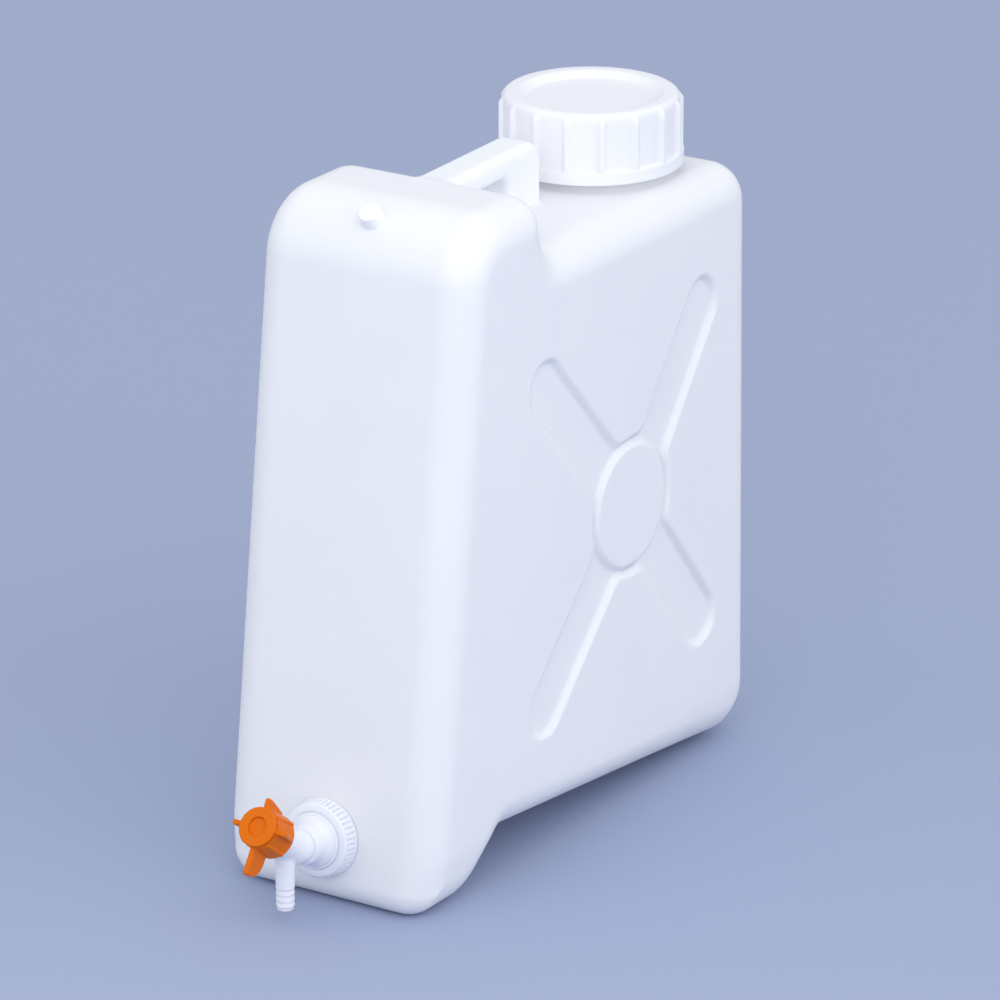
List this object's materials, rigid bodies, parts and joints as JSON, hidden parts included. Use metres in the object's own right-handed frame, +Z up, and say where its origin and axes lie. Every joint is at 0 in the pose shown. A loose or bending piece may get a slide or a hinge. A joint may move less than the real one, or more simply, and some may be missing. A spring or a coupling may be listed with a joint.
{
  "type": "carboy with spigot",
  "caption": "Slim upright liquid container with a wide screw cap, a carrying handle and a small turn-knob spigot with a hose tail at its foot.",
  "frame": {"origin": "on the floor, under the middle of the whole part's bounding box", "axes": "+X to the right seen from the spigot side, across the narrow width; -Y to the front with the spigot, along the length; +Z up, along the neck axis"},
  "size_m": [0.16, 0.4847, 0.453],
  "materials": {
    "tank_plastic": "soft satin, slightly translucent",
    "cap_plastic": "satin",
    "gasket_foam": "matte foamed sheet",
    "nut_plastic": "satin",
    "seal_rubber": "matte",
    "spigot_plastic": "satin",
    "plunger_plastic": "satin",
    "knob_plastic": "satin orange"
  },
  "bodies": {
    "tank_body": {"tank": "tank_plastic", "ring_nut": "nut_plastic", "outlet_gasket": "seal_rubber", "spigot_body": "spigot_plastic"},
    "plunger": {"valve_plunger": "plunger_plastic", "plunger_oring": "seal_rubber", "seat_washer": "gasket_foam"},
    "knob": {"valve_knob": "knob_plastic"},
    "cap_seal": {"cap_gasket": "gasket_foam"},
    "cap": {"screw_cap": "cap_plastic"}
  },
  "joints": [
    {"name": "plunger_rise", "type": "slide", "parent": "tank_body", "child": "plunger", "axis": [0, -0.809, 0.5878], "range_m": [0, 0.0051]},
    {"name": "knob_turn", "type": "hinge", "parent": "plunger", "child": "knob", "pos_m": [0, -0.22054, 0.07163], "axis": [0, -0.809, 0.5878], "range_deg": [0, 360]},
    {"name": "cap_rise", "type": "slide", "parent": "tank_body", "child": "cap_seal", "axis": [0, 0, 1], "range_m": [0, 0.0076]},
    {"name": "cap_turn", "type": "hinge", "parent": "cap_seal", "child": "cap", "pos_m": [0, 0.1607, 0.43], "axis": [0, 0, 1], "range_deg": [0, 450]}
  ],
  "couplings": [
    {"joint": "plunger_rise", "follows": "knob_turn", "m_per_rad": 0.00079577},
    {"joint": "cap_rise", "follows": "cap_turn", "m_per_rad": 0.00095493}
  ]
}
